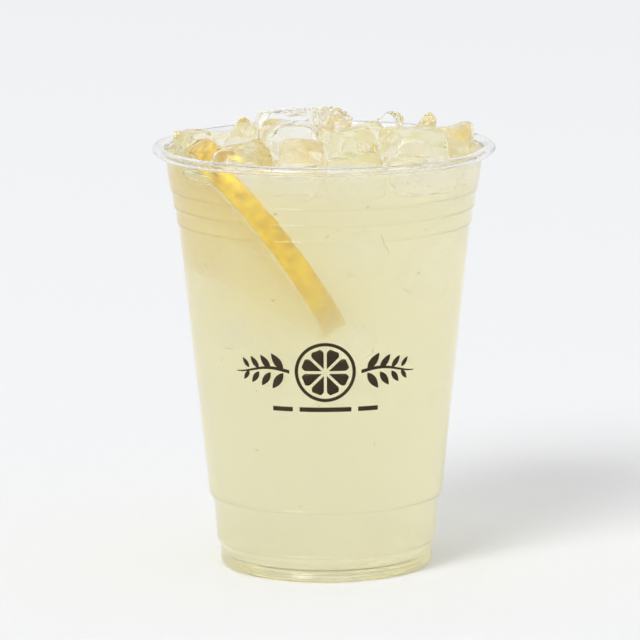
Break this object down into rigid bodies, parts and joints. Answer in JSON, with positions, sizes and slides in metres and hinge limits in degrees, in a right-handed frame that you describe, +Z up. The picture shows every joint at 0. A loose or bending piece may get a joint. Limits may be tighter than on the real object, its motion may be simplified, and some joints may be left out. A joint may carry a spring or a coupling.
{
  "type": "glass of lemonade",
  "caption": "Clear tapered take-away cup with a rolled rim, filled with pale lemonade, a lemon wheel and heaped ice.",
  "frame": {"origin": "centre of the ring that the cup stands on", "axes": "+Z up along the cup's axis, -Y towards the side that faces the viewer, +X to the viewer's right"},
  "size_m": [0.098, 0.098, 0.132],
  "materials": {
    "clear_plastic": "thin clear plastic sheet, gloss",
    "lemonade": "cloudy pale yellow liquid",
    "lemon": "cut lemon: yellow peel, white pith and wet flesh",
    "ice": "clear wet ice, cloudy inside"
  },
  "bodies": {
    "root": {"cup": "clear_plastic", "drink": "lemonade", "ice_arch": "ice", "ice_back": "ice", "ice_back_inner": "ice", "ice_back_left": "ice", "ice_back_middle": "ice", "ice_back_right": "ice", "ice_between": "ice", "ice_centre": "ice", "ice_chip_front": "ice", "ice_chip_right": "ice", "ice_crown": "ice", "ice_dome": "ice", "ice_front": "ice", "ice_front_left": "ice", "ice_front_low": "ice", "ice_front_right": "ice", "ice_inner_right": "ice", "ice_knob": "ice", "ice_left": "ice", "ice_middle": "ice", "ice_nub": "ice", "ice_right": "ice", "ice_slanted": "ice", "ice_wedge": "ice", "lemon_wheel": "lemon"}
  },
  "joints": []
}
